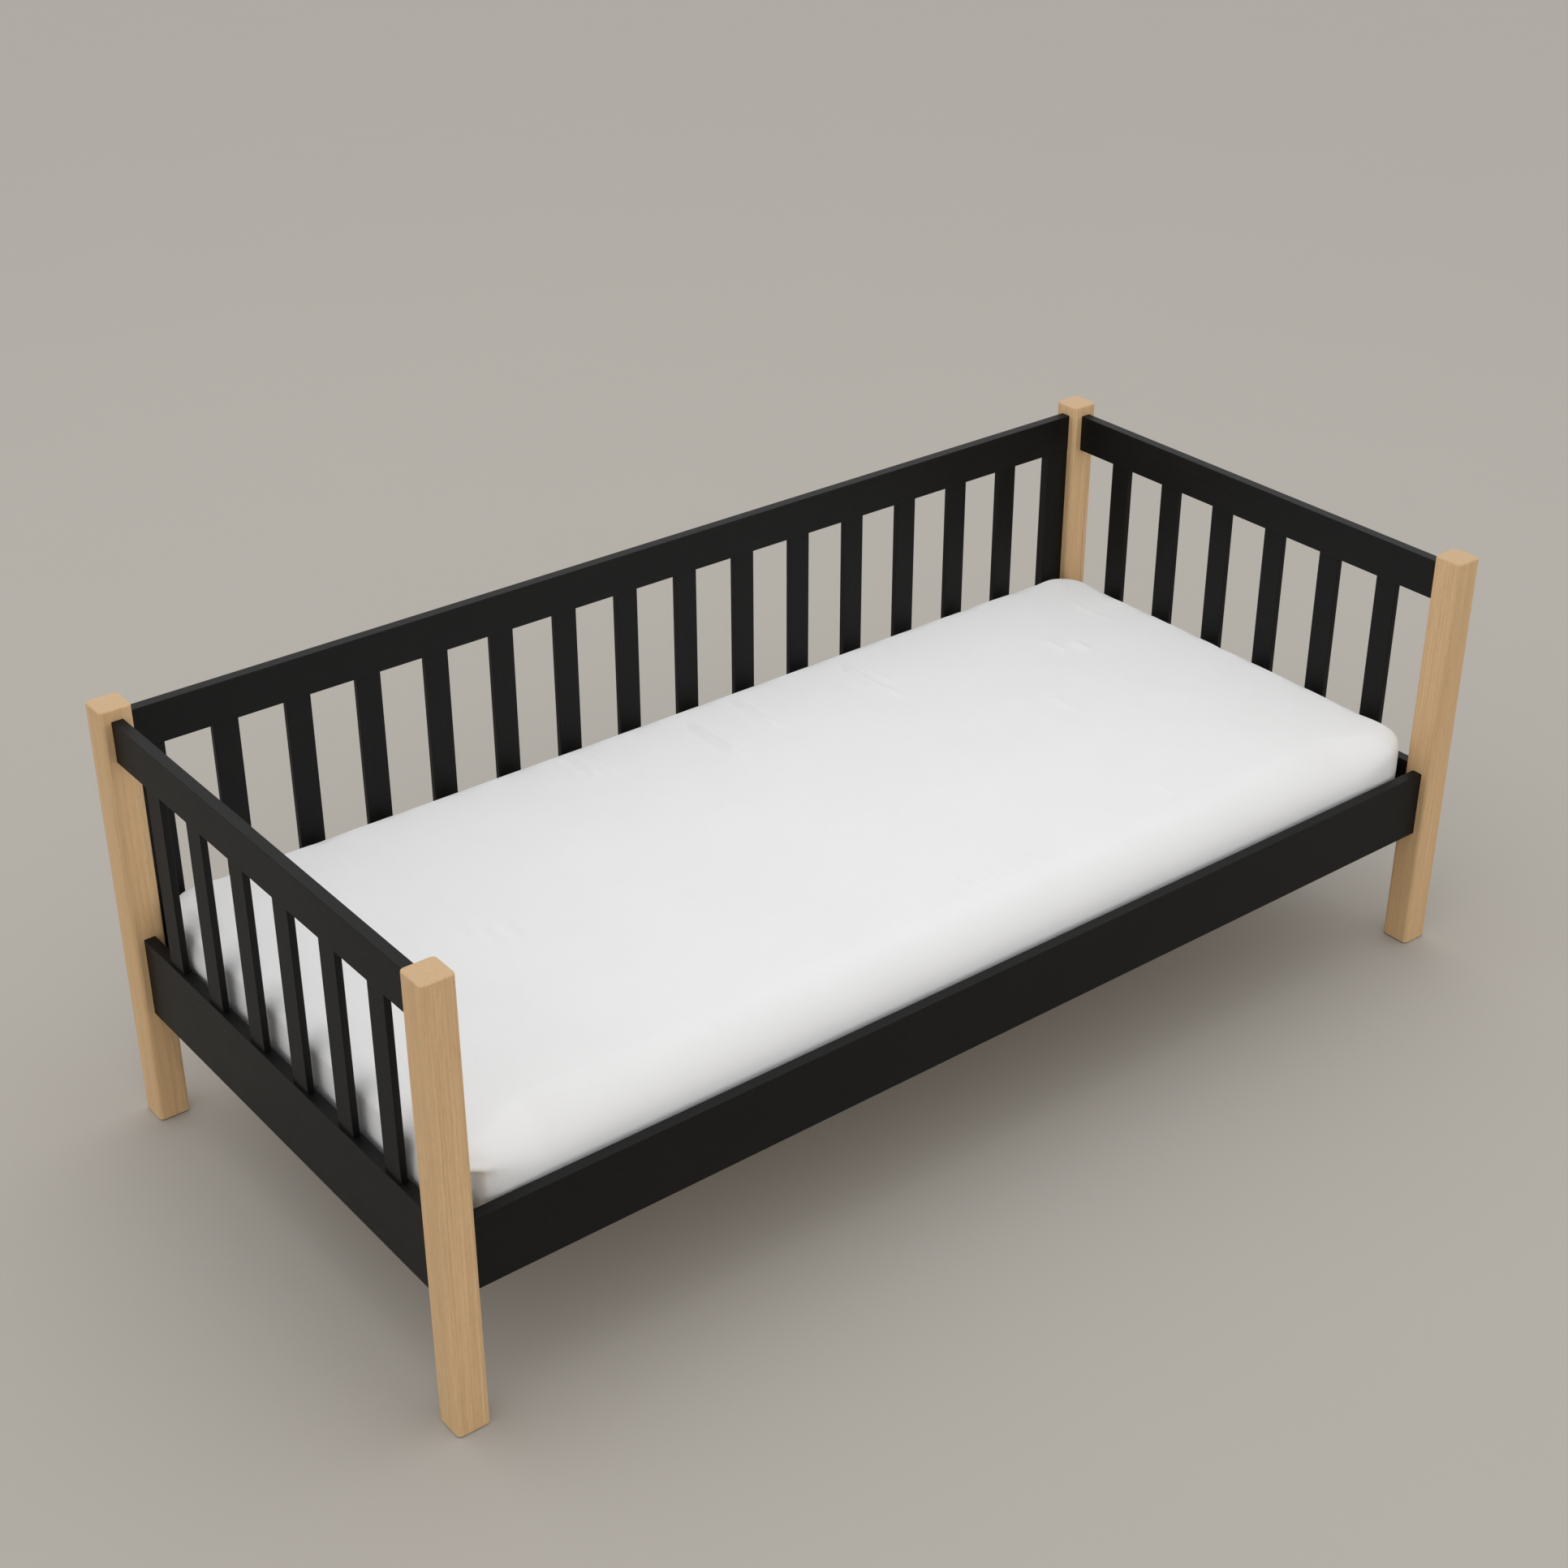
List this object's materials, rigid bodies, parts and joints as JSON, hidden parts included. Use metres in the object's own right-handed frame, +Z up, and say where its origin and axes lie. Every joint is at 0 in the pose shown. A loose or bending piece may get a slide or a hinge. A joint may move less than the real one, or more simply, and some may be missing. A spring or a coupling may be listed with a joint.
{
  "type": "toddler bed",
  "caption": "Low child's bed with oak corner posts, black slatted ends and back, an open front with one low rail, a slatted base and a sheeted mattress.",
  "frame": {"origin": "on the floor, under the middle of the bed's outline", "axes": "+X along the bed to the right as seen from the open front, +Y from the open front to the slatted back, +Z up"},
  "size_m": [1.888, 0.887, 0.69],
  "materials": {
    "oak": "clear matt oil on straight-grained oak",
    "black_wood": "satin black lacquer, a little grain showing",
    "base_pine": "bare planed pine",
    "beech": "bare fluted beech",
    "felt": "pressed felt",
    "tape": "woven polyester tape",
    "zinc_steel": "zinc plated",
    "foam": "open-cell mattress foam",
    "mattress_ticking": "quilted white ticking",
    "sheet_cotton": "fine white cotton jersey"
  },
  "bodies": {
    "frame": {"back_low_rail": "black_wood", "back_slat_01": "black_wood", "back_slat_02": "black_wood", "back_slat_03": "black_wood", "back_slat_04": "black_wood", "back_slat_05": "black_wood", "back_slat_06": "black_wood", "back_slat_07": "black_wood", "back_slat_08": "black_wood", "back_slat_09": "black_wood", "back_slat_10": "black_wood", "back_slat_11": "black_wood", "back_slat_12": "black_wood", "back_slat_13": "black_wood", "back_slat_14": "black_wood", "back_stile_left": "black_wood", "back_stile_right": "black_wood", "back_top_rail": "black_wood", "base_ledger_back": "base_pine", "base_ledger_front": "base_pine", "base_slat_screws": "zinc_steel", "base_slats": "base_pine", "base_tapes": "tape", "dowels": "beech", "felt_pad_back_left": "felt", "felt_pad_back_right": "felt", "felt_pad_front_left": "felt", "felt_pad_front_right": "felt", "front_rail": "black_wood", "half_moon_washers": "zinc_steel", "joint_nuts": "zinc_steel", "joint_studs": "zinc_steel", "ledger_screws": "zinc_steel", "left_low_rail": "black_wood", "left_slat_01": "black_wood", "left_slat_02": "black_wood", "left_slat_03": "black_wood", "left_slat_04": "black_wood", "left_slat_05": "black_wood", "left_slat_06": "black_wood", "left_top_rail": "black_wood", "post_back_left": "oak", "post_back_right": "oak", "post_front_left": "oak", "post_front_right": "oak", "right_low_rail": "black_wood", "right_slat_01": "black_wood", "right_slat_02": "black_wood", "right_slat_03": "black_wood", "right_slat_04": "black_wood", "right_slat_05": "black_wood", "right_slat_06": "black_wood", "right_top_rail": "black_wood", "tape_staples": "zinc_steel"},
    "mattress": {"mattress_core": "foam", "mattress_cover": "mattress_ticking", "fitted_sheet": "sheet_cotton"}
  },
  "joints": [
    {"name": "mattress_lift", "type": "slide", "parent": "frame", "child": "mattress", "axis": [0, 0, 1], "range_m": [0, 0.45]}
  ]
}
